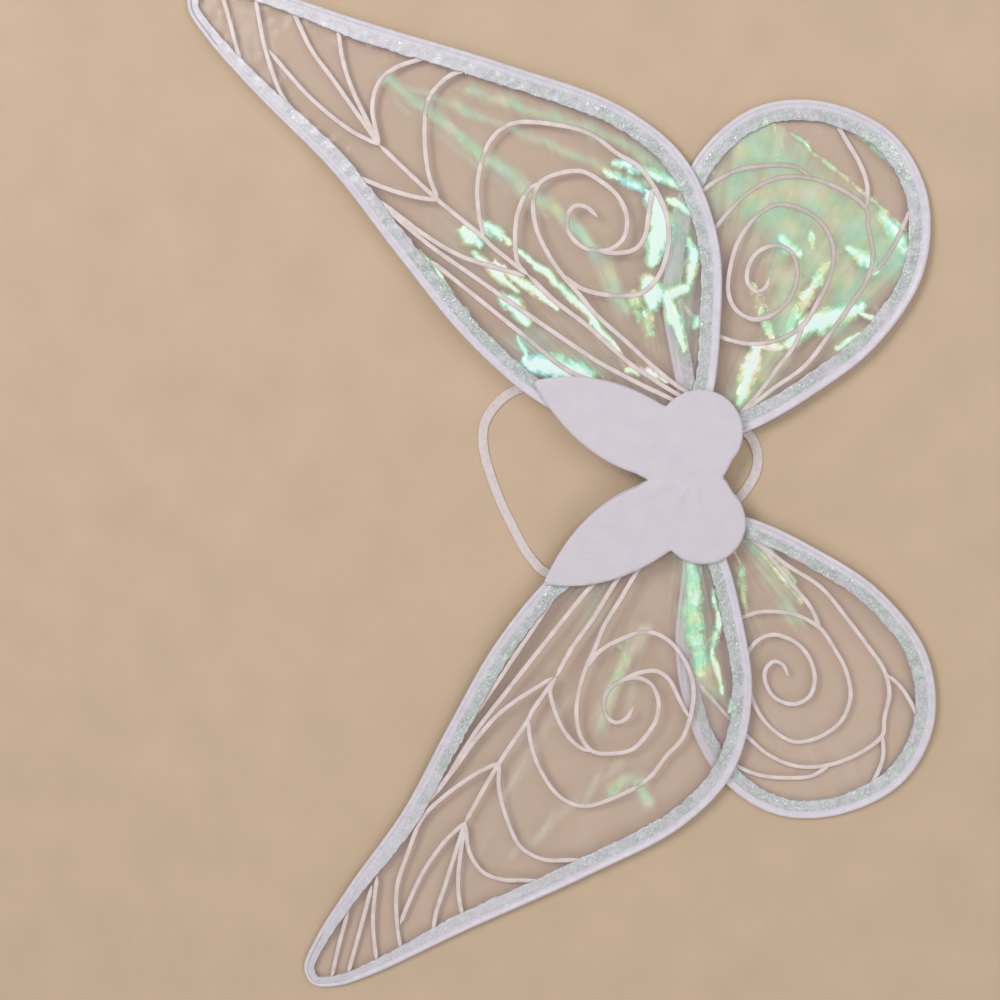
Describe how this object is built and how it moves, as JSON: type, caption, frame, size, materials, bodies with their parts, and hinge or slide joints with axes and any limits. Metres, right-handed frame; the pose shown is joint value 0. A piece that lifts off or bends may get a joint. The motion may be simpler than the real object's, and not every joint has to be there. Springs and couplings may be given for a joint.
{
  "type": "costume fairy wings",
  "caption": "Wired fairy wings with clear iridescent film panels, folded film hems, felt centre pads and elastic arm straps.",
  "frame": {"origin": "middle of the back pad's underside, on the crease between the two halves", "axes": "+Z out of the decorated front face, +Y up when worn, +X towards the wearer's right"},
  "size_m": [0.6131, 0.4122, 0.014],
  "materials": {
    "felt": "soft pressed felt, off-white with a lilac cast",
    "wire": "drawn steel wire",
    "film": "clear iridescent film, lilac with green and cyan flashes, creased",
    "hem": "crinkled pearly film hem with fine glitter",
    "tape": "white cloth tape",
    "elastic": "flat woven elastic, pinkish white",
    "thread": "white sewing thread"
  },
  "bodies": {
    "centre": {"felt_pad_back": "felt", "felt_pad_front": "felt"},
    "left_wings": {"upper_wire_left": "wire", "upper_hem_left": "hem", "upper_film_left": "film", "lower_wire_left": "wire", "lower_hem_left": "hem", "lower_film_left": "film", "wire_wrap_left": "tape", "arm_strap_left": "elastic", "strap_tack_upper_left": "thread", "strap_tack_lower_left": "thread"},
    "right_wings": {"upper_wire_right": "wire", "upper_hem_right": "hem", "upper_film_right": "film", "lower_wire_right": "wire", "lower_hem_right": "hem", "lower_film_right": "film", "wire_wrap_right": "tape", "arm_strap_right": "elastic", "strap_tack_upper_right": "thread", "strap_tack_lower_right": "thread"}
  },
  "joints": [
    {"name": "left_fold", "type": "hinge", "parent": "centre", "child": "left_wings", "pos_m": [-0.004, 0, 0.0099], "axis": [0, 1, 0], "range_deg": [0, 85], "deforming": ["felt_pad_back", "felt_pad_front"]},
    {"name": "right_fold", "type": "hinge", "parent": "centre", "child": "right_wings", "pos_m": [0.004, 0, 0.0099], "axis": [0, -1, 0], "range_deg": [0, 85], "deforming": ["felt_pad_back", "felt_pad_front"]}
  ]
}
